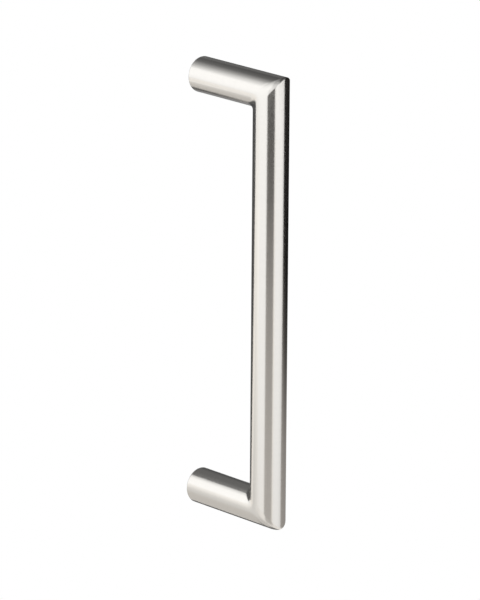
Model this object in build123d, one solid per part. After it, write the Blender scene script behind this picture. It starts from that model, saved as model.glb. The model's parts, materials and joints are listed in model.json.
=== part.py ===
from build123d import *
import math
import os

# Mitred tube pull handle, in millimetres. The origin is midway between the two fixing
# centres on the face of the door, +Y goes into the door and +Z runs up the grip.

# Driving dimensions of the tube frame
tube_diameter = 19.0
tube_wall = 1.5
fixing_centres = 225.0
projection = 63.0
corner_blend = 1.5
rim_chamfer = 0.4

# Threaded inserts held in the ends of the legs
insert_length = 22.0
insert_clearance = 0.05
insert_lead = 1.0
thread_minor_diameter = 6.8

# Values that follow from the driving dimensions
tube_radius = tube_diameter / 2
bore_radius = tube_radius - tube_wall
grip_offset = projection - tube_radius
leg_height = fixing_centres / 2
insert_radius = bore_radius - insert_clearance
thread_minor_radius = thread_minor_diameter / 2

toward_leg = Vector(0, 1, 1).normalized()
across_tube = Vector(1, 0, 0)


def mitre_plane(point):
    """Plane of the 45 degree mitre through a point on the frame's centre line."""
    return Plane(origin=point, x_dir=across_tube, z_dir=toward_leg)


def tube_length(start, direction, length):
    """A plain length of tube from a point along a direction."""
    section = Circle(tube_radius) - Circle(bore_radius)
    return extrude(Plane(origin=start, z_dir=direction) * section, length)


def polished_corner(centre_line):
    """Mitred corner dressed smooth: the oval mitre section carried round the arc, never turned."""
    arc = centre_line.edges().filter_by(GeomType.CIRCLE)[0]
    middle = mitre_plane(arc @ 0.5)
    oval = Ellipse(tube_radius, tube_radius * math.sqrt(2))
    oval_bore = Ellipse(bore_radius, bore_radius * math.sqrt(2))
    leg_half_arc = ThreePointArc(arc @ 0.5, arc @ 0.25, arc @ 0)
    leg_half = sweep(middle * (oval - oval_bore), path=leg_half_arc, normal=toward_leg)
    return leg_half + mirror(leg_half, about=middle)


def upper_half():
    """The upper leg, its corner and the grip down to mid height."""
    wall_end = Vector(0, 0, leg_height)
    corner = Vector(0, -grip_offset, leg_height)
    grip_middle = Vector(0, -grip_offset, 0)
    centre_line = FilletPolyline(wall_end, corner, grip_middle, radius=corner_blend)

    leg_seam = mitre_plane(corner + Vector(0, corner_blend, 0))
    grip_seam = mitre_plane(corner - Vector(0, 0, corner_blend))
    leg = tube_length(wall_end, (0, -1, 0), projection)
    leg = split(leg, bisect_by=leg_seam, keep=Keep.TOP)
    grip = tube_length(grip_middle, (0, 0, 1), leg_height + tube_radius)
    grip = split(grip, bisect_by=grip_seam, keep=Keep.BOTTOM)
    return leg + polished_corner(centre_line) + grip


def handle_body():
    """Grip and legs as one welded body, with the rims at the door eased."""
    upper = upper_half()
    body = upper + mirror(upper, about=Plane.XY)
    rims = body.edges().filter_by(GeomType.CIRCLE).filter_by_position(Axis.Y, 0, 0)
    return chamfer(rims, rim_chamfer)


def threaded_insert(height):
    """Turned plug, flush with the end of a leg, bored through for a fixing bolt."""
    inner_end = -insert_length
    outline = Polyline(
        (thread_minor_radius, 0),
        (insert_radius, 0),
        (insert_radius, inner_end + insert_lead),
        (insert_radius - insert_lead, inner_end),
        (thread_minor_radius, inner_end),
        close=True,
    )
    plug = revolve(make_face(outline), axis=Axis.Y)
    return Pos(0, 0, height) * plug


os.makedirs("parts", exist_ok=True)
export_step(handle_body(), "parts/handle_body.step")
export_step(threaded_insert(leg_height), "parts/upper_insert.step")
export_step(threaded_insert(-leg_height), "parts/lower_insert.step")
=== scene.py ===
"""Satin stainless pull handle: the mitred tube, its threaded inserts and a small photo studio."""
import json
import math

import bmesh
import bpy
from bpy.props import FloatProperty, FloatVectorProperty, IntProperty, PointerProperty
from mathutils import Matrix, Vector


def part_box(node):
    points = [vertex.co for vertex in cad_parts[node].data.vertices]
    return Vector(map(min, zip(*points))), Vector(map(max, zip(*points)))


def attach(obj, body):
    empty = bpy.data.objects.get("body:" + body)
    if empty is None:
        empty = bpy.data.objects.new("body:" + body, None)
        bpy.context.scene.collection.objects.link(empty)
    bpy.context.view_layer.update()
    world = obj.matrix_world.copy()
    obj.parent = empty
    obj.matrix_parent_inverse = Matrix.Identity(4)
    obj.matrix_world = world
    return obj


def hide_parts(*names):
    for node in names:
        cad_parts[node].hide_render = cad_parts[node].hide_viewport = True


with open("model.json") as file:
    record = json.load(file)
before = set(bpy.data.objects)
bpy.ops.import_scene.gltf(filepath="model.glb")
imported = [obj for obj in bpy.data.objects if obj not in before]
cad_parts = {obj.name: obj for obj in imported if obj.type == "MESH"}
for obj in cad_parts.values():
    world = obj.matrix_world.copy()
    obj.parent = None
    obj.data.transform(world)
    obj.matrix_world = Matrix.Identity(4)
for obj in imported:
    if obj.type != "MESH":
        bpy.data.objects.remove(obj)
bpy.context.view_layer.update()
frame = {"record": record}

bl_info = {
    "name": "Mitred pull handle",
    "version": (1, 0, 0),
    "blender": (4, 5, 0),
    "location": "View3D > Sidebar > Handle",
    "description": "Builds a satin mitred tube handle, its inserts and the studio around it",
    "category": "Object",
}

# Sizes that the solids give
BODY_LOW, BODY_HIGH = (Vector(corner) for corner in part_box("handle_body"))
INSERT_LOW, INSERT_HIGH = (Vector(corner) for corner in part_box("upper_insert"))
TUBE_DIAMETER = BODY_HIGH.x - BODY_LOW.x
FIXING_HOLES = next(mount for mount in frame["record"]["mounts"] if mount["name"] == "fixing_holes")
HOLE_RADIUS = FIXING_HOLES["dims"]["hole_r_mm"] / 1000

# Distances within which two places count as one, and two vertices are merged
TINY = 1e-5
MERGE_DISTANCE = 1e-6

# Steps along half the grip and along a leg
GRIP_STEPS = 9
LEG_STEPS = 4

# Rings either side of a corner's crease, as shares of the ground strip's width, and what their test allows
RING_SHARES = (0.03, 0.07, 0.12, 0.18, 0.25, 0.35, 0.48, 0.62, 0.76, 0.88, 0.95, 1.0, 1.05, 1.15, 1.4, 2.0)
RING_SLACK = 0.01

# How softly the ground strip begins: at 1 it is a flat facet
FACET_ONSET = 1.15

# Places round a corner, as shares of the radius in front of the tube's axis or to the right of it
STRIP_FULL_FORWARD = 0.45
STRIP_END_RIGHT = 0.4
CREST_END_FORWARD = 0.3
HOLLOW_FULL_FORWARD = -0.3

# Faces round an insert, steps to each turn of its thread, and the bore radii within which a place is on it
INSERT_SIDES = 64
THREAD_STEPS = 8
BORE_SLACK = 1.02

# A face looks along a direction when its normal has this share of it
NORMAL_SHARE = 0.9

# Edges flatter than these are shaded smooth
TUBE_SMOOTH_ANGLE = math.radians(30)
INSERT_SMOOTH_ANGLE = math.radians(24)

# Axes of a place, along which cards are graded
ACROSS, DEEP, UP = range(3)

# Planes and edges that several cards share, and the gap that keeps two cards apart
FLOOR_HEIGHT = -0.42
RIGHT_WALL = 0.55
LEFT_WALL = -0.9
REAR_WALL = 0.5
CEILING = 1.0
SOFTBOX_FOOT = -0.41
SCRIM_FOOT = 0.46
SOFTBOX_TOP = 1.2
UNDER_RIGHT = 0.13
UNDER_REAR = 0.2
CARD_GAP = 0.01

# Colours of the studio's light, and warm tints of the painted glow on the cards and in the floor's painted
# reflection
WHITE = (1.0, 1.0, 1.0, 1.0)
BLACK = (0.0, 0.0, 0.0, 1.0)
NEUTRAL = (1.0, 1.0, 1.0)
WARM_PALE = (1.02, 1.0, 0.97)
WARM_SHEET = (1.03, 1.0, 0.96)
WARM_FLOOR = (1.04, 1.0, 0.95)
WARM_CARD = (1.045, 1.0, 0.95)
WARM_FLAG = (1.06, 1.0, 0.95)

# The middle of a noise that runs from 0 to 1
NOISE_MIDDLE = 0.5

# Width of the camera's sensor in millimetres
SENSOR_WIDTH = 36


# Settings that a user would change

class HandleSizes(bpy.types.PropertyGroup):
    """Sizes of the tube and of what is held in its ends."""

    tube_diameter: FloatProperty(
        name="Tube diameter", description="Outside diameter of the grip and the legs",
        default=TUBE_DIAMETER, unit="LENGTH", precision=5)
    fixing_centres: FloatProperty(
        name="Fixing centres", description="Distance between the two legs' axes",
        default=BODY_HIGH.z - BODY_LOW.z - TUBE_DIAMETER, unit="LENGTH", precision=5)
    projection: FloatProperty(
        name="Projection", description="From the face of the door to the front of the grip",
        default=BODY_HIGH.y - BODY_LOW.y, unit="LENGTH", precision=5)
    tube_wall: FloatProperty(
        name="Tube wall", description="Thickness of the tube",
        default=0.0015, unit="LENGTH", precision=5)
    facet_width: FloatProperty(
        name="Facet width", description="Width of the strip ground beside the weld on the crest of a corner",
        default=0.0011, unit="LENGTH", precision=5)
    facet_spread: FloatProperty(
        name="Facet spread", description="How much wider the ground strip grows towards the left",
        default=0.0052, unit="LENGTH", precision=5)
    facet_narrowing: FloatProperty(
        name="Facet narrowing", description="How much narrower the ground strip gets towards the right",
        default=0.0012, unit="LENGTH", precision=5)
    facet_least: FloatProperty(
        name="Least facet width", description="Width that the ground strip keeps on the far right",
        default=0.0002, unit="LENGTH", precision=5)
    facet_slope: FloatProperty(
        name="Facet slope", description="Depth of the ground strip at the crease, as a share of its width",
        default=0.12, min=0)
    crest_radius: FloatProperty(
        name="Crest radius", description="Rounding of the crease on the crest of a corner",
        default=0.00025, unit="LENGTH", precision=5)
    crest_growth: FloatProperty(
        name="Crest growth", description="How much larger the rounding grows towards the left",
        default=0.0030, unit="LENGTH", precision=5)
    inner_radius: FloatProperty(
        name="Inner radius", description="Fillet of the weld on the inside of a corner",
        default=0.0022, unit="LENGTH", precision=5)
    inner_growth: FloatProperty(
        name="Inner growth", description="How much larger the inner fillet grows towards the left",
        default=0.001, unit="LENGTH", precision=5)
    bore_blend: FloatProperty(
        name="Bore blend", description="Rounding of the bore at a corner",
        default=0.001, unit="LENGTH", precision=5)
    rim_chamfer: FloatProperty(
        name="Rim chamfer", description="Eased edge where a leg meets the door",
        default=0.00015, unit="LENGTH", precision=5)
    insert_diameter: FloatProperty(
        name="Insert diameter", description="Outside diameter of a threaded insert",
        default=INSERT_HIGH.x - INSERT_LOW.x, unit="LENGTH", precision=5)
    insert_length: FloatProperty(
        name="Insert length", description="Length of a threaded insert",
        default=INSERT_HIGH.y - INSERT_LOW.y, unit="LENGTH", precision=5)
    insert_lead: FloatProperty(
        name="Insert lead", description="Chamfer at the inner end of an insert",
        default=0.001, unit="LENGTH", precision=5)
    thread_minor: FloatProperty(
        name="Thread minor radius", description="Radius over the crests of the thread",
        default=HOLE_RADIUS, unit="LENGTH", precision=5)
    thread_depth: FloatProperty(
        name="Thread depth", description="Depth of the thread's grooves",
        default=0.0006, unit="LENGTH", precision=5)
    thread_pitch: FloatProperty(
        name="Thread pitch", description="Distance from one turn of the thread to the next",
        default=0.00125, unit="LENGTH", precision=5)
    mouth_chamfer: FloatProperty(
        name="Mouth chamfer", description="Countersink at the mouth of the thread",
        default=0.0007, unit="LENGTH", precision=5)
    tube_sides: IntProperty(
        name="Tube sides", description="Faces round the tube", default=96, min=24)


class HandleFinish(bpy.types.PropertyGroup):
    """Colour and polish of the metal."""

    steel_colour: FloatVectorProperty(
        name="Steel colour", description="Satin stainless steel of the tube",
        default=(0.87, 0.85, 0.815), size=3, subtype="COLOR", min=0, max=1)
    steel_roughness: FloatProperty(
        name="Steel roughness", description="Softness of the satin finish",
        default=0.18, min=0, max=1, subtype="FACTOR")
    insert_colour: FloatVectorProperty(
        name="Insert colour", description="Turned steel of the inserts",
        default=(0.58, 0.58, 0.57), size=3, subtype="COLOR", min=0, max=1)
    insert_roughness: FloatProperty(
        name="Insert roughness", description="Softness of the turned faces",
        default=0.34, min=0, max=1, subtype="FACTOR")


class StudioSettings(bpy.types.PropertyGroup):
    """Camera, floor and light."""

    camera_azimuth: FloatProperty(
        name="Camera azimuth", description="Angle of the camera round the handle, zero in front",
        default=math.radians(-42.2053), subtype="ANGLE")
    camera_elevation: FloatProperty(
        name="Camera elevation", description="Angle of the camera above the handle",
        default=math.radians(15.9388), subtype="ANGLE")
    camera_roll: FloatProperty(
        name="Camera roll", description="How far the picture leans",
        default=math.radians(0.414), subtype="ANGLE")
    camera_distance: FloatProperty(
        name="Camera distance", description="From the camera to the point it looks at",
        default=2.63895, unit="LENGTH")
    camera_aim: FloatVectorProperty(
        name="Camera aim", description="Point that the camera looks at",
        default=(0.01351, -0.01578, -0.00917), size=3, subtype="TRANSLATION", precision=5)
    camera_lens: FloatProperty(
        name="Camera lens", description="Focal length in millimetres on a 36 mm sensor",
        default=300.17)
    camera_reach: FloatProperty(
        name="Camera reach", description="How far the camera sees", default=50.0, unit="LENGTH")
    floor_drop: FloatProperty(
        name="Floor drop", description="How far the floor lies below the handle's middle",
        default=-FLOOR_HEIGHT, unit="LENGTH")
    floor_radius: FloatProperty(
        name="Floor radius", description="Radius of the pale floor", default=2.0, unit="LENGTH")
    floor_colour: FloatVectorProperty(
        name="Floor colour", description="Pale floor", default=(0.9, 0.9, 0.9),
        size=3, subtype="COLOR", min=0, max=1)
    melt_start: FloatProperty(
        name="Melt start", description="Distance from the middle at which the floor begins to turn white",
        default=0.3, unit="LENGTH")
    melt_end: FloatProperty(
        name="Melt end", description="Distance from the middle past which the floor is white",
        default=0.7, unit="LENGTH")
    ambient: FloatProperty(
        name="Ambient light", description="Strength of the white room on matt surfaces",
        default=0.5, min=0)
    key_power: FloatProperty(
        name="Key lamp power", description="Power of the soft lamp overhead in watts",
        default=9.0, min=0)
    key_width: FloatProperty(
        name="Key lamp width", description="Width of the soft lamp", default=0.9, unit="LENGTH")
    key_depth: FloatProperty(
        name="Key lamp depth", description="Depth of the soft lamp", default=0.7, unit="LENGTH")
    key_place: FloatVectorProperty(
        name="Key lamp place", description="Where the soft lamp hangs",
        default=(-0.5, -0.2, 1.1), size=3, subtype="TRANSLATION")


# Shader expressions

class Signal:
    """A shader value that ordinary arithmetic can be written on."""

    def __init__(self, board, socket):
        self.board = board
        self.socket = socket

    def __add__(self, other):
        return self.board.math("ADD", self, other)

    def __sub__(self, other):
        return self.board.math("SUBTRACT", self, other)

    def __rsub__(self, other):
        return self.board.math("SUBTRACT", other, self)

    def __mul__(self, other):
        return self.board.math("MULTIPLY", self, other)

    def __truediv__(self, other):
        return self.board.math("DIVIDE", self, other)

    def __gt__(self, other):
        return self.board.math("GREATER_THAN", self, other)

    def __pow__(self, other):
        return self.board.math("POWER", self, other)

    def __abs__(self):
        return self.board.math("ABSOLUTE", self)

    __radd__ = __add__
    __rmul__ = __mul__


class Board:
    """The nodes of one material or world, added as expressions are written."""

    def __init__(self, owner):
        owner.use_nodes = True
        self.tree = owner.node_tree
        self.tree.nodes.clear()

    def node(self, kind, settings=None, **inputs):
        """Adds a node, sets it up, fills its sockets and returns it."""
        made = self.tree.nodes.new("ShaderNode" + kind)
        for name, value in (settings or {}).items():
            if name == "stops":
                self.set_stops(made.color_ramp, value)
            else:
                setattr(made, name, value)
        for name, value in inputs.items():
            self.fill(self.find_socket(made, name), value)
        return made

    def find_socket(self, made, name):
        """An input of a node, by its name or by an underscore and its number."""
        if name.startswith("_"):
            return made.inputs[int(name[1:])]
        return made.inputs[name.replace("_", " ")]

    def fill(self, socket, value):
        """Links a signal to a socket, or writes a plain value on it."""
        if isinstance(value, Signal):
            self.tree.links.new(value.socket, socket)
        else:
            socket.default_value = value

    def set_stops(self, ramp, stops):
        """Writes the stops of a colour ramp, each a place and a grey level or colour."""
        while len(ramp.elements) < len(stops):
            ramp.elements.new(1.0)
        for element, (place, level) in zip(ramp.elements, stops):
            element.position = place
            element.color = (level, level, level, 1) if isinstance(level, float) else opaque(level)

    def read(self, made, output=0):
        """One output of a node as a signal."""
        return Signal(self, made.outputs[output])

    def math(self, operation, first, second=None):
        """A Math node on one or two values."""
        inputs = {"_0": first}
        if second is not None:
            inputs["_1"] = second
        return self.read(self.node("Math", {"operation": operation}, **inputs))

    def larger(self, first, second):
        """The larger of two values."""
        return self.math("MAXIMUM", first, second)

    def place(self):
        """The three object coordinates of the point that is shaded."""
        where = self.read(self.node("TexCoord"), "Object")
        parts = self.node("SeparateXYZ", Vector=where)
        return [self.read(parts, axis) for axis in "XYZ"]

    def vector(self, x, y, z):
        """Three values as one vector."""
        return self.read(self.node("CombineXYZ", X=x, Y=y, Z=z))

    def noise(self, where, detail, scale=1.0):
        """Smooth noise between 0 and 1."""
        made = self.node("TexNoise", Vector=where, Scale=scale, Detail=detail)
        return self.read(made, "Fac")

    def ramp(self, value, stops):
        """A colour ramp along a value, with its stops at places on that value."""
        low, high = stops[0][0], stops[-1][0]
        places = [((place - low) / (high - low), level) for place, level in stops]
        return self.read(self.node("ValToRGB", {"stops": places}, Fac=(value - low) / (high - low)))

    def blend_colours(self, amount, first, second):
        """A colour between two others."""
        made = self.node("Mix", {"data_type": "RGBA"}, _0=amount, _6=first, _7=second)
        return self.read(made, 2)

    def metal(self, colour, rough, bump):
        """A bare metal shader with its bump, sent to the material's output."""
        shader = self.node("BsdfPrincipled", Base_Color=colour, Metallic=1.0, Roughness=rough,
                           Normal=self.read(bump))
        self.finish("Material", shader)

    def finish(self, kind, shader):
        """Sends a shader to the output of the material or world."""
        self.node("Output" + kind, Surface=self.read(shader))


def opaque(colour):
    """A colour with full alpha, as a colour socket takes it."""
    return (*colour, 1)


def shaded(colour, shade):
    """A colour with full alpha, darkened to a share of itself."""
    return opaque([channel * shade for channel in colour])


def tinted(stops, tint):
    """Stops of a ramp with their grey levels turned into shades of one tint."""
    return [(place, tuple(level * channel for channel in tint)) for place, level in stops]


# Metals

def satin_stainless(sizes, finish):
    """Stainless steel rubbed round the tube with a fine belt, so the grain lies in rings."""
    dull_shade = 0.93
    streak_colour, grain_colour = 0.6, 0.3
    grain_roughness, cloud_roughness = 0.08, 0.05
    bump_strength, bump_depth, streak_bump = 0.25, 0.000004, 0.5

    material = bpy.data.materials.new("satin_stainless")
    board = Board(material)
    x, y, z = board.place()
    grip_offset = sizes.projection - sizes.tube_diameter / 2
    on_leg = (y + grip_offset + abs(z) - sizes.fixing_centres / 2) > 0
    along = on_leg * y + (1 - on_leg) * z
    across = on_leg * z + (1 - on_leg) * y

    def rings(steps_round, steps_along, detail):
        """Noise drawn out round the tube, with so many steps to a metre."""
        where = board.vector(x * steps_round, across * steps_round, along * steps_along)
        return board.noise(where, detail)

    grain = rings(steps_round=90, steps_along=5200, detail=3.0)
    streaks = rings(steps_round=35, steps_along=900, detail=2.0)
    clouds = board.noise(board.vector(x, y, z), detail=2.0, scale=55.0)
    bright = opaque(finish.steel_colour)
    dull = shaded(finish.steel_colour, dull_shade)
    colour = board.blend_colours(streaks * streak_colour + grain * grain_colour, bright, dull)
    grain_change = (grain - NOISE_MIDDLE) * grain_roughness
    cloud_change = (clouds - NOISE_MIDDLE) * cloud_roughness
    height = grain + streaks * streak_bump
    bump = board.node("Bump", Strength=bump_strength, Distance=bump_depth, Height=height)
    board.metal(colour, finish.steel_roughness + grain_change + cloud_change, bump)
    return material


def turned_steel(sizes, finish):
    """Steel off the lathe: fine rings about each insert's own axis."""
    steps = 4200
    dull_shade = 0.8
    ring_colour, cloud_colour = 0.6, 0.4
    ring_roughness = 0.16
    bump_strength, bump_depth = 0.4, 0.00001

    material = bpy.data.materials.new("insert_steel")
    board = Board(material)
    x, y, z = board.place()
    height = abs(z) - sizes.fixing_centres / 2
    radius = (x * x + height * height) ** 0.5
    rings = board.noise(board.vector(radius * steps, y * steps, 0.0), detail=2.0)
    clouds = board.noise(board.vector(x, y, z), detail=2.0, scale=160.0)
    bright = opaque(finish.insert_colour)
    dull = shaded(finish.insert_colour, dull_shade)
    colour = board.blend_colours(rings * ring_colour + clouds * cloud_colour, bright, dull)
    bump = board.node("Bump", Strength=bump_strength, Distance=bump_depth, Height=rings)
    board.metal(colour, finish.insert_roughness + (rings - NOISE_MIDDLE) * ring_roughness, bump)
    return material


# Modelling helpers

def clear_selection():
    """Nothing selected, in object mode."""
    if bpy.context.object and bpy.context.object.mode != "OBJECT":
        bpy.ops.object.mode_set(mode="OBJECT")
    bpy.ops.object.select_all(action="DESELECT")


def name_new(name):
    """Names the piece just added and puts its place into its mesh."""
    piece = bpy.context.object
    piece.name = name
    piece.data.name = name
    bpy.ops.object.transform_apply(location=True, rotation=True, scale=True)
    return piece


def select_edges(piece, test):
    """Selects the edges whose two ends both pass a test."""
    bpy.ops.mesh.select_mode(type="EDGE")
    bpy.ops.mesh.select_all(action="DESELECT")
    cage = bmesh.from_edit_mesh(piece.data)
    for edge in cage.edges:
        edge.select = all(test(vertex.co) for vertex in edge.verts)
    cage.select_flush_mode()
    bmesh.update_edit_mesh(piece.data)


def select_faces(piece, direction):
    """Selects the faces that look along a direction."""
    bpy.ops.mesh.select_mode(type="FACE")
    bpy.ops.mesh.select_all(action="DESELECT")
    cage = bmesh.from_edit_mesh(piece.data)
    for face in cage.faces:
        face.select = face.normal.dot(direction) > NORMAL_SHARE
    bmesh.update_edit_mesh(piece.data)


def cut(point, normal, drop_below=False):
    """Cuts the whole mesh with a plane, and can drop what lies below it."""
    bpy.ops.mesh.select_all(action="SELECT")
    bpy.ops.mesh.bisect(plane_co=point, plane_no=normal, clear_inner=drop_below, threshold=MERGE_DISTANCE)


def bridge_loops(cuts=0):
    """Joins the two selected loops with a band of faces."""
    if bpy.ops.mesh.bridge_edge_loops(number_cuts=cuts) != {"FINISHED"}:
        raise RuntimeError("the two loops could not be bridged")


def apply_modifier(piece, kind, **settings):
    """Adds a modifier, sets it up and applies it."""
    modifier = piece.modifiers.new(kind.lower(), kind)
    for name, value in settings.items():
        setattr(modifier, name, value)
    bpy.ops.object.modifier_apply(modifier=modifier.name)


def close_up(smooth_angle):
    """Merges doubles, turns the faces outwards and shades the round stretches smooth."""
    bpy.ops.object.mode_set(mode="EDIT")
    bpy.ops.mesh.select_all(action="SELECT")
    bpy.ops.mesh.remove_doubles(threshold=MERGE_DISTANCE)
    bpy.ops.mesh.normals_make_consistent(inside=False)
    bpy.ops.object.mode_set(mode="OBJECT")
    bpy.ops.object.shade_smooth_by_angle(angle=smooth_angle)


def dress(piece, material, node):
    """Gives a finished piece its metal and its body, and hides the solid that it stands for."""
    piece.data.materials.clear()
    piece.data.materials.append(material)
    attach(piece, "root")
    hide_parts(node)


# The tube body

def ease(value, start, end):
    """Share from 0 at start to 1 at end, with a smooth beginning and end."""
    share = min(max((value - start) / (end - start), 0), 1)
    return share * share * (3 - 2 * share)


def weld_shape(sizes, across, forward):
    """Width and depth of the ground strip at a place round the corner, and the crease's rounding there."""
    left, right = max(-across, 0), max(across, 0)
    width = sizes.facet_width + left * sizes.facet_spread - right * sizes.facet_narrowing
    width = max(width, sizes.facet_least)
    forward_share = ease(forward, 0, STRIP_FULL_FORWARD)
    depth = sizes.facet_slope * width * forward_share * ease(across, STRIP_END_RIGHT, 0)
    crest = sizes.crest_radius + left * sizes.crest_growth
    hollow = sizes.inner_radius + left * sizes.inner_growth
    inside = ease(forward, CREST_END_FORWARD, HOLLOW_FULL_FORWARD)
    return width, depth, crest + inside * (hollow - crest)


def bore_shape(sizes, across, forward):
    """The same for the bore, which has no ground strip and one rounding all the way round."""
    return sizes.facet_width, 0, sizes.bore_blend


def mitred_skin(sizes, name, radius):
    """The skin of the upper leg and half the grip, cut and joined on a square mitre."""
    offset = sizes.projection - sizes.tube_diameter / 2
    height = sizes.fixing_centres / 2
    rim_ring = 2 * sizes.rim_chamfer
    corner = Vector((0, -offset, height))
    along_leg = Vector((0, 1, 0))
    up_grip = Vector((0, 0, 1))
    mitre = along_leg + up_grip

    clear_selection()
    bpy.ops.mesh.primitive_cylinder_add(
        vertices=sizes.tube_sides, radius=radius, depth=2 * sizes.projection, end_fill_type="NOTHING",
        location=(0, -sizes.projection, height), rotation=(math.pi / 2, 0, 0))
    piece = name_new(name)
    bpy.ops.object.mode_set(mode="EDIT")
    cut(corner, mitre, drop_below=True)
    bpy.ops.mesh.extrude_region_move(TRANSFORM_OT_translate={"value": -up_grip * sizes.fixing_centres})
    cut(Vector((0, 0, 0)), up_grip, drop_below=True)
    for share in RING_SHARES:
        reach = share * sizes.facet_width
        cut(corner + along_leg * reach, mitre)
        cut(corner - up_grip * reach, mitre)
    # The corner has rings of its own, so the step next to it gets none
    for count in range(1, GRIP_STEPS - 1):
        cut(Vector((0, 0, height * count / GRIP_STEPS)), up_grip)
    for count in range(1, LEG_STEPS - 1):
        cut(Vector((0, -offset * count / LEG_STEPS, 0)), along_leg)
    cut(Vector((0, -rim_ring, 0)), along_leg)
    return piece


def dress_corner(piece, sizes, radius, shape):
    """Rounds the square crease of the mitre and grinds the end of the grip down to meet it."""
    offset = sizes.projection - sizes.tube_diameter / 2
    height = sizes.fixing_centres / 2
    crest_turn = math.pi / 4
    cage = bmesh.from_edit_mesh(piece.data)
    for vertex in cage.verts:
        place = vertex.co
        past_mitre = place.y + offset + place.z - height
        on_leg = past_mitre > TINY
        forward = (place.z - height if on_leg else -place.y - offset) / radius
        ring = abs(past_mitre)
        share = ring / sizes.facet_width
        if share > RING_SHARES[-1] + RING_SLACK:
            continue
        width, depth, rounding = shape(sizes, place.x / radius, forward)
        away = share * width
        turn = crest_turn * max(1 - away / rounding, 0)
        if turn:
            away = rounding * (1 - math.sin(turn))
        inward = rounding * (1 - math.cos(turn))
        left_over = max(1 - away / width, 0)
        if on_leg:
            crest_share = max(1 - rounding * (1 - math.sin(crest_turn)) / width, 0)
            pushed = depth * crest_share ** FACET_ONSET * left_over
            vertex.co += Vector((0, away - ring + pushed, -inward))
        else:
            ground = depth * left_over ** FACET_ONSET
            vertex.co += Vector((0, inward + ground, ring - away))
    bmesh.update_edit_mesh(piece.data)


def select_leg_end(piece, side):
    """Selects the edges at the door of the upper leg, side 1, or of the lower one, side -1."""
    select_edges(piece, lambda place: abs(place.y) < TINY and place.z * side > 0)


def select_rims(piece, sizes):
    """Selects the round edges in the plane of the door."""
    height = sizes.fixing_centres / 2
    select_edges(piece, lambda place: abs(place.y) < TINY)
    cage = bmesh.from_edit_mesh(piece.data)
    for edge in cage.edges:
        first, second = (math.hypot(end.co.x, abs(end.co.z) - height) for end in edge.verts)
        edge.select = edge.select and abs(first - second) < TINY
    bmesh.update_edit_mesh(piece.data)


class HANDLE_OT_tube_body(bpy.types.Operator):
    """Models the grip and the legs as one welded and polished tube"""

    bl_idname = "handle.tube_body"
    bl_label = "Tube body"

    def execute(self, context):
        sizes = context.scene.handle_sizes
        finish = context.scene.handle_finish
        radius = sizes.tube_diameter / 2
        bore_radius = radius - sizes.tube_wall
        bore = mitred_skin(sizes, "tube_bore", bore_radius)
        dress_corner(bore, sizes, bore_radius, bore_shape)
        bpy.ops.mesh.select_all(action="SELECT")
        bpy.ops.mesh.normals_make_consistent(inside=True)
        piece = mitred_skin(sizes, "tube_body", radius)
        dress_corner(piece, sizes, radius, weld_shape)
        bpy.ops.object.mode_set(mode="OBJECT")
        bore.select_set(True)
        bpy.ops.object.join()
        apply_modifier(piece, "MIRROR", use_axis=(False, False, True), merge_threshold=TINY)
        bpy.ops.object.mode_set(mode="EDIT")
        for side in (1, -1):
            select_leg_end(piece, side)
            bridge_loops()
        select_rims(piece, sizes)
        bpy.ops.mesh.bevel(offset_type="OFFSET", offset=sizes.rim_chamfer, segments=2, profile=0.5,
                           affect="EDGES")
        close_up(TUBE_SMOOTH_ANGLE)
        dress(piece, satin_stainless(sizes, finish), "handle_body")
        return {"FINISHED"}


# The threaded inserts

def thread_rise(turn):
    """Height of the thread's groove, from 0 on the crest to 1 at the root, at a share of a turn."""
    crest_flat = 0.25
    root_flat = 0.125
    from_root = abs(2 * (turn % 1.0) - 1)
    return min(max((1 - crest_flat - from_root) / (1 - crest_flat - root_flat), 0), 1)


def on_bore(sizes, place):
    """Whether a place on the upper insert lies on its bore."""
    from_axis = math.hypot(place.x, place.z - sizes.fixing_centres / 2)
    return from_axis < sizes.thread_minor * BORE_SLACK


def plain_insert(sizes):
    """A turned plug with a lead at its inner end, at the height of the upper leg."""
    height = sizes.fixing_centres / 2
    clear_selection()
    bpy.ops.mesh.primitive_cylinder_add(
        vertices=INSERT_SIDES, radius=sizes.insert_diameter / 2, depth=sizes.insert_length,
        end_fill_type="NGON", location=(0, -sizes.insert_length / 2, height),
        rotation=(math.pi / 2, 0, 0))
    piece = name_new("upper_thread_insert")
    bpy.ops.object.mode_set(mode="EDIT")
    select_edges(piece, lambda place: place.y < TINY - sizes.insert_length)
    bpy.ops.mesh.bevel(offset_type="OFFSET", offset=sizes.insert_lead, segments=1, affect="EDGES")
    return piece


def bore_insert(piece, sizes):
    """Countersinks the mouth of the plug and bores it through, with rings for the thread."""
    outer_radius = sizes.insert_diameter / 2
    mouth_radius = sizes.thread_minor + sizes.mouth_chamfer
    select_faces(piece, Vector((0, 1, 0)))
    bpy.ops.mesh.inset(thickness=outer_radius - mouth_radius, depth=0)
    bpy.ops.mesh.inset(thickness=sizes.mouth_chamfer, depth=-sizes.mouth_chamfer)
    bpy.ops.mesh.delete(type="ONLY_FACE")
    select_faces(piece, Vector((0, -1, 0)))
    bpy.ops.mesh.inset(thickness=outer_radius - sizes.insert_lead - sizes.thread_minor, depth=0)
    bpy.ops.mesh.delete(type="ONLY_FACE")
    select_edges(piece, lambda place: on_bore(sizes, place))
    bore_length = sizes.insert_length - sizes.mouth_chamfer
    bridge_loops(int(bore_length / sizes.thread_pitch * THREAD_STEPS))


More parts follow.
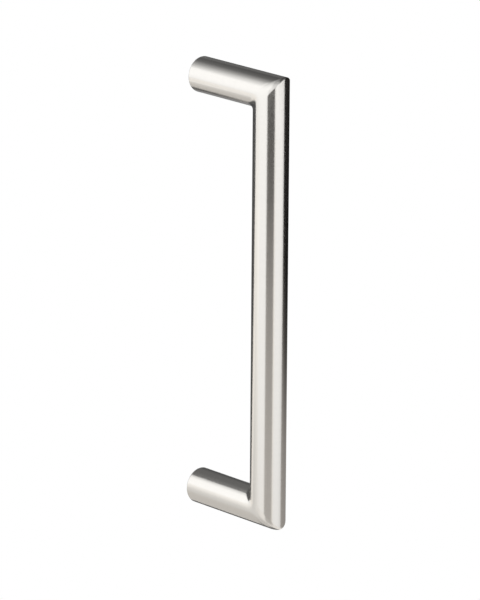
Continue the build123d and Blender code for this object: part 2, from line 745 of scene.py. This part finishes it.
def cut_thread(piece, sizes):
    """Cuts a right-hand helical groove in the bore, which runs out at the mouth and at the inner end."""
    height = sizes.fixing_centres / 2
    cage = bmesh.from_edit_mesh(piece.data)
    for vertex in cage.verts:
        place = vertex.co
        if not on_bore(sizes, place):
            continue
        turn = math.atan2(place.x, place.z - height) / math.tau - place.y / sizes.thread_pitch
        from_ends = min(-sizes.mouth_chamfer - place.y, place.y + sizes.insert_length)
        fade = min(max(from_ends / sizes.thread_pitch, 0), 1)
        grow = 1 + thread_rise(turn) * fade * sizes.thread_depth / sizes.thread_minor
        vertex.co.x *= grow
        vertex.co.z = height + (place.z - height) * grow
    bmesh.update_edit_mesh(piece.data)


class HANDLE_OT_inserts(bpy.types.Operator):
    """Models the threaded insert in the end of each leg"""

    bl_idname = "handle.inserts"
    bl_label = "Threaded inserts"

    def execute(self, context):
        sizes = context.scene.handle_sizes
        metal = turned_steel(sizes, context.scene.handle_finish)
        upper = plain_insert(sizes)
        bore_insert(upper, sizes)
        cut_thread(upper, sizes)
        close_up(INSERT_SMOOTH_ANGLE)
        bpy.ops.object.duplicate()
        lower = bpy.context.object
        lower.location.z = -sizes.fixing_centres
        name_new("lower_thread_insert")
        dress(upper, metal, "upper_insert")
        dress(lower, metal, "lower_insert")
        return {"FINISHED"}


# The studio

def bearing(azimuth):
    """Level unit vector at an azimuth, zero towards the front of the handle."""
    return Vector((math.sin(azimuth), -math.cos(azimuth), 0))


def rectangle(start, end, low, high):
    """Outline of a plain card in its own plane."""
    return (start, low), (end, low), (end, high), (start, high)


def lying(z, outline):
    """Corners of a card that lies level, its outline in places across and deep."""
    return [Vector((x, y, z)) for x, y in outline]


def on_floor(lift, outline):
    """Corners of a card that lies a little above the floor."""
    return lying(FLOOR_HEIGHT + lift, outline)


def beside(x, outline):
    """Corners of an upright card at the handle's side, its outline in places deep and up."""
    return [Vector((x, y, z)) for y, z in outline]


def behind(y, outline):
    """Corners of an upright card at the handle's back, its outline in places across and up."""
    return [Vector((x, y, z)) for x, z in outline]


def facing(azimuth, distance, half_width, low, high):
    """Corners of an upright card that faces the handle from an azimuth in degrees."""
    towards = bearing(math.radians(azimuth))
    right = Vector((0, 0, 1)).cross(towards)
    outline = rectangle(-half_width, half_width, low, high)
    middle = towards * distance
    return [middle + right * along + Vector((0, 0, height)) for along, height in outline]


def painted_reflection_card(name, corners, axis, stops, strength=1.0, tint=NEUTRAL, painted_falloff=None, painted_falloff_axis=DEEP):
    """A flat card that only reflections see, glowing with painted light and shade: graded along one axis, and
    along another where it falls off.
    """
    clear_selection()
    bpy.ops.mesh.primitive_circle_add(vertices=len(corners), fill_type="NGON")
    card = bpy.context.object
    card.name = name
    card.data.name = name
    for vertex, corner in zip(card.data.vertices, corners):
        vertex.co = corner
    material = bpy.data.materials.new(name)
    board = Board(material)
    place = board.place()
    # The card's graded glow is painted light and shade, which the steel shows as bright and dark bands
    glow = board.ramp(place[axis], tinted(stops, tint))
    if painted_falloff:
        glow = board.blend_colours(board.ramp(place[painted_falloff_axis], painted_falloff), BLACK, glow)
    board.finish("Material", board.node("Emission", Color=glow, Strength=strength))
    card.data.materials.append(material)
    card.visible_camera = False
    card.visible_diffuse = False
    card.visible_shadow = False


def add_front_cards():
    """In front, glowing cards that only reflections see, as painted reflections: a grey card with painted
    shade darkening towards its top, a softbox, pale sheets on the floor, and a dark flag and a scrim above.
    """
    top_right_lean = 0.03
    low_left, low_right, high_right, high_left = facing(
        azimuth=-38, distance=0.45, half_width=0.182, low=-0.36, high=0.055)
    high_right += (high_left - high_right) * top_right_lean
    painted_reflection_card(
        "front_card", (low_left, low_right, high_right, high_left), UP, tint=WARM_CARD,
        stops=[(-0.36, 0.47), (-0.247, 0.44), (-0.187, 0.40), (-0.132, 0.33), (-0.077, 0.22),
               (-0.05, 0.145), (-0.029, 0.07)])
    painted_reflection_card(
        "front_softbox", facing(azimuth=17, distance=0.7, half_width=0.362, low=-0.40, high=0.07), UP,
        stops=[(-0.4, 0.83), (-0.3, 0.88), (-0.2, 0.925), (-0.1, 0.98), (-0.03, 1.1)], strength=1.06,
        painted_falloff=[(0.2, 1.0), (0.3, 0.98), (0.4, 0.91), (0.5, 0.85), (0.56, 0.8)], painted_falloff_axis=ACROSS)
    painted_reflection_card(
        "front_sheet", on_floor(0.005, rectangle(-0.55, 0.6, -0.85, -0.3)), ACROSS, tint=WARM_SHEET,
        stops=[(-0.55, 0.8), (0.6, 0.86)])
    painted_reflection_card(
        "front_left_sheet", on_floor(0.004, rectangle(-0.89, -0.25, -0.4, 0.2)), ACROSS, tint=WARM_SHEET,
        stops=[(-0.88, 0.88), (-0.62, 0.89), (-0.53, 0.84), (-0.43, 0.69), (-0.3, 0.6)],
        painted_falloff=[(-0.05, 1.0), (0.1, 0.9), (0.2, 0.85)])
    painted_reflection_card(
        "upper_front_flag", facing(azimuth=26, distance=0.6, half_width=0.26, low=0.02, high=CEILING), UP,
        stops=[(0.02, 0.06), (CEILING, 0.1)])
    painted_reflection_card(
        "upper_front_scrim", facing(azimuth=-8, distance=0.72, half_width=0.62, low=0.07, high=CEILING),
        ACROSS, stops=[(-0.6, 1.05), (-0.4, 0.9), (-0.23, 0.7), (-0.1, 0.4), (0.05, 0.2), (0.2, 0.13)],
        painted_falloff=[(0.07, 1.0), (0.1, 0.92), (0.18, 0.6), (0.4, 0.4), (CEILING, 0.35)], painted_falloff_axis=UP)


def add_dark_flags():
    """On the right, behind and overhead, glowing cards that only reflections see: black and grey flags that
    put painted shade into the steel, a grey card and a scrim of painted light.
    """
    painted_reflection_card(
        "side_flag", beside(RIGHT_WALL, rectangle(-0.7, REAR_WALL, FLOOR_HEIGHT, CEILING)), UP,
        tint=WARM_FLAG,
        stops=[(-0.40, 0.39), (-0.31, 0.31), (-0.27, 0.29), (-0.24, 0.22), (-0.2, 0.07), (-0.15, 0.004),
               (CEILING, 0.1)])
    slanted_outline = ((0.0, FLOOR_HEIGHT), (RIGHT_WALL, FLOOR_HEIGHT), (RIGHT_WALL, SCRIM_FOOT),
                       (-0.165, SCRIM_FOOT), (-0.3, -0.08), (-0.065, -0.26))
    painted_reflection_card(
        "back_flag", behind(REAR_WALL, slanted_outline), UP,
        stops=[(FLOOR_HEIGHT, 0.06), (0.0, 0.08), (0.25, 0.14), (SCRIM_FOOT, 0.15)])
    low_outline = ((0.14, FLOOR_HEIGHT), (RIGHT_WALL, FLOOR_HEIGHT), (RIGHT_WALL, -0.1), (0.22, -0.2))
    painted_reflection_card(
        "low_back_card", behind(REAR_WALL - CARD_GAP, low_outline), UP,
        stops=[(FLOOR_HEIGHT, 0.3), (-0.1, 0.22)])
    painted_reflection_card(
        "upper_scrim", behind(REAR_WALL, rectangle(-0.5, RIGHT_WALL, SCRIM_FOOT, CEILING)), ACROSS,
        stops=[(-0.44, 1.0), (-0.31, 0.84), (-0.16, 0.45), (0.07, 0.155), (0.32, 0.09)],
        painted_falloff=[(SCRIM_FOOT, 1.0), (0.62, 1.0), (0.83, 0.55), (CEILING, 0.4)], painted_falloff_axis=UP)
    painted_reflection_card(
        "ceiling_flag", lying(CEILING, rectangle(-0.88, RIGHT_WALL, -0.7, REAR_WALL)), ACROSS,
        stops=[(-0.85, 0.5), (-0.67, 0.3), (-0.5, 0.17), (-0.3, 0.12), (0.1, 0.09)])


def add_floor_sheets():
    """On the floor, glowing cards that only reflections see: dark flags of painted shade under the handle and
    behind it, and a white sheet of painted light far back on the left.
    """
    painted_reflection_card(
        "rear_floor_flag", on_floor(0.002, rectangle(UNDER_RIGHT, RIGHT_WALL, UNDER_REAR, REAR_WALL)), ACROSS,
        stops=[(UNDER_RIGHT, 0.05), (RIGHT_WALL, 0.05)])
    painted_reflection_card(
        "under_flag", on_floor(0.003, rectangle(-0.14, UNDER_RIGHT, -0.3, UNDER_REAR)), ACROSS,
        stops=[(-0.14, 0.45), (-0.08, 0.15), (UNDER_RIGHT, 0.05)])
    painted_reflection_card(
        "rear_left_sheet", on_floor(0.003, rectangle(-0.69, -0.44, 0.7, 0.88)), ACROSS, tint=WARM_PALE,
        stops=[(-0.69, 1.0), (-0.44, 1.0)])


def add_left_softboxes():
    """On the left, glowing cards that only reflections see, as painted highlights: a tall softbox, its
    continuation to the back, and a low pale card nearer the handle.
    """
    painted_reflection_card(
        "left_softbox", beside(LEFT_WALL, rectangle(-0.9, REAR_WALL, SOFTBOX_FOOT, SOFTBOX_TOP)), UP,
        stops=[(-0.36, 0.81), (-0.317, 0.84), (-0.26, 0.85), (-0.206, 0.875), (-0.158, 0.92), (0.2, 1.0),
               (0.4, 0.9), (0.64, 0.66), (0.76, 0.5), (SOFTBOX_TOP, 0.3)], strength=1.18)
    painted_reflection_card(
        "left_back_softbox", beside(LEFT_WALL, rectangle(REAR_WALL, 1.6, -0.2, SOFTBOX_TOP)), UP,
        stops=[(-0.2, 0.84), (-0.13, 0.92), (-0.05, 0.96), (0.2, 1.0)], strength=1.18)
    stepped_outline = ((0.1, SOFTBOX_FOOT), (0.6, SOFTBOX_FOOT), (0.6, -0.27), (0.41, -0.24),
                       (0.41, -0.05), (0.1, -0.05))
    painted_reflection_card(
        "low_left_card", beside(-0.35, stepped_outline), UP, tint=WARM_PALE,
        stops=[(-0.35, 0.63), (-0.24, 0.68), (-0.18, 0.76), (-0.12, 0.9), (-0.05, 1.0)], strength=1.155,
        painted_falloff=[(0.1, 1.0), (0.22, 0.964), (0.32, 0.909), (0.6, 0.891)])


def add_floor(studio):
    """A pale floor that takes the shadow and melts into the white room; in reflections it shows as a painted
    warm grey glow, darker towards its middle.
    """
    sides = 128
    fibre_steps = 240.0
    fibre_shade = 0.985
    # Levels of the floor's painted reflection, by distance from the middle: darker near the handle
    painted_reflection_levels = ((0.3, 0.58), (0.5, 0.6), (0.61, 0.6), (0.7, 0.63), (0.8, 0.72), (0.92, 0.84),
                    (1.1, 0.9), (1.8, 0.98))

    clear_selection()
    bpy.ops.mesh.primitive_circle_add(vertices=sides, radius=studio.floor_radius, fill_type="NGON",
                                      location=(0, 0, -studio.floor_drop))
    floor = name_new("floor")
    material = bpy.data.materials.new("pale_floor")
    board = Board(material)
    x, y, z = board.place()
    distance = (x * x + y * y) ** 0.5
    melt = board.read(board.node("MapRange", {"interpolation_type": "SMOOTHSTEP"}, Value=distance,
                                 From_Min=studio.melt_start, From_Max=studio.melt_end))
    fibre = board.noise(board.vector(x, y, z), detail=3.0, scale=fibre_steps)
    pale = opaque(studio.floor_colour)
    soft = shaded(studio.floor_colour, fibre_shade)
    paper = board.node("BsdfDiffuse", Color=board.blend_colours(fibre, pale, soft))
    path = board.node("LightPath")
    reflected = board.read(path, "Is Glossy Ray")
    looked_at = board.larger(board.read(path, "Is Camera Ray"), board.read(path, "Is Transmission Ray"))
    # Painted reflection: reflections see the floor as a warm grey glow graded by distance
    sheet = board.ramp(distance, tinted(painted_reflection_levels, WARM_FLOOR))
    glow = board.node("Emission", Color=board.blend_colours(reflected, WHITE, sheet), Strength=1.0)
    mixed = board.node("MixShader", _0=board.larger(melt * looked_at, reflected), _1=board.read(paper),
                       _2=board.read(glow))
    board.finish("Material", mixed)
    floor.data.materials.append(material)


def add_room(studio):
    """A white room, plain white to the eye and in reflections, softer on matt surfaces."""
    world = bpy.data.worlds.new("white_room")
    bpy.context.scene.world = world
    board = Board(world)
    path = board.node("LightPath")
    seen = board.larger(board.read(path, "Is Camera Ray"), board.read(path, "Is Glossy Ray"))
    seen = board.larger(seen, board.read(path, "Is Transmission Ray"))
    strength = studio.ambient + seen * (1 - studio.ambient)
    board.finish("World", board.node("Background", Strength=strength, Color=WHITE))


def add_lamp(studio):
    """One large soft lamp overhead and to the left."""
    lamp = bpy.data.lights.new("overhead_softbox", "AREA")
    lamp.shape = "RECTANGLE"
    lamp.size = studio.key_width
    lamp.size_y = studio.key_depth
    lamp.energy = studio.key_power
    holder = bpy.data.objects.new("overhead_softbox", lamp)
    holder.location = studio.key_place
    holder.visible_glossy = False
    holder.rotation_euler = (-holder.location).to_track_quat("-Z", "Y").to_euler()
    bpy.context.scene.collection.objects.link(holder)


def add_camera(studio):
    """The camera at the photograph's angle."""
    along_floor = bearing(studio.camera_azimuth) * math.cos(studio.camera_elevation)
    back = along_floor + Vector((0, 0, math.sin(studio.camera_elevation)))
    right = Vector((0, 0, 1)).cross(back).normalized()
    up = back.cross(right)
    lean = studio.camera_roll
    leaning_right = right * math.cos(lean) + up * math.sin(lean)
    leaning_up = up * math.cos(lean) - right * math.sin(lean)
    camera = bpy.data.cameras.new("camera")
    camera.lens = studio.camera_lens
    camera.sensor_width = SENSOR_WIDTH
    camera.clip_end = studio.camera_reach
    holder = bpy.data.objects.new("camera", camera)
    turn = Matrix((leaning_right, leaning_up, back)).transposed().to_4x4()
    place = Vector(studio.camera_aim) + back * studio.camera_distance
    holder.matrix_world = Matrix.Translation(place) @ turn
    bpy.context.scene.collection.objects.link(holder)
    bpy.context.scene.camera = holder


class HANDLE_OT_studio(bpy.types.Operator):
    """Sets up the floor, the white room, the cards, the lamp and the camera"""

    bl_idname = "handle.studio"
    bl_label = "Studio"

    def execute(self, context):
        studio = context.scene.handle_studio
        add_floor(studio)
        add_room(studio)
        add_front_cards()
        add_dark_flags()
        add_floor_sheets()
        add_left_softboxes()
        add_lamp(studio)
        add_camera(studio)
        context.scene.view_settings.view_transform = "Standard"
        return {"FINISHED"}


class HANDLE_PT_panel(bpy.types.Panel):
    """Lists the pieces of the handle and their settings"""

    bl_idname = "HANDLE_PT_panel"
    bl_label = "Mitred pull handle"
    bl_space_type = "VIEW_3D"
    bl_region_type = "UI"
    bl_category = "Handle"

    def draw(self, context):
        layout = self.layout
        for group in (context.scene.handle_sizes, context.scene.handle_finish, context.scene.handle_studio):
            box = layout.box()
            for name in group.__annotations__:
                box.prop(group, name)
        for operator in OPERATORS:
            layout.operator(operator.bl_idname)


OPERATORS = (HANDLE_OT_tube_body, HANDLE_OT_inserts, HANDLE_OT_studio)
CLASSES = (HandleSizes, HandleFinish, StudioSettings, *OPERATORS, HANDLE_PT_panel)


def register():
    for each in CLASSES:
        bpy.utils.register_class(each)
    bpy.types.Scene.handle_sizes = PointerProperty(type=HandleSizes)
    bpy.types.Scene.handle_finish = PointerProperty(type=HandleFinish)
    bpy.types.Scene.handle_studio = PointerProperty(type=StudioSettings)


def unregister():
    del bpy.types.Scene.handle_studio
    del bpy.types.Scene.handle_finish
    del bpy.types.Scene.handle_sizes
    for each in reversed(CLASSES):
        bpy.utils.unregister_class(each)


def main():
    register()
    bpy.ops.handle.tube_body()
    bpy.ops.handle.inserts()
    bpy.ops.handle.studio()
    clear_selection()


if __name__ == "__main__":
    main()
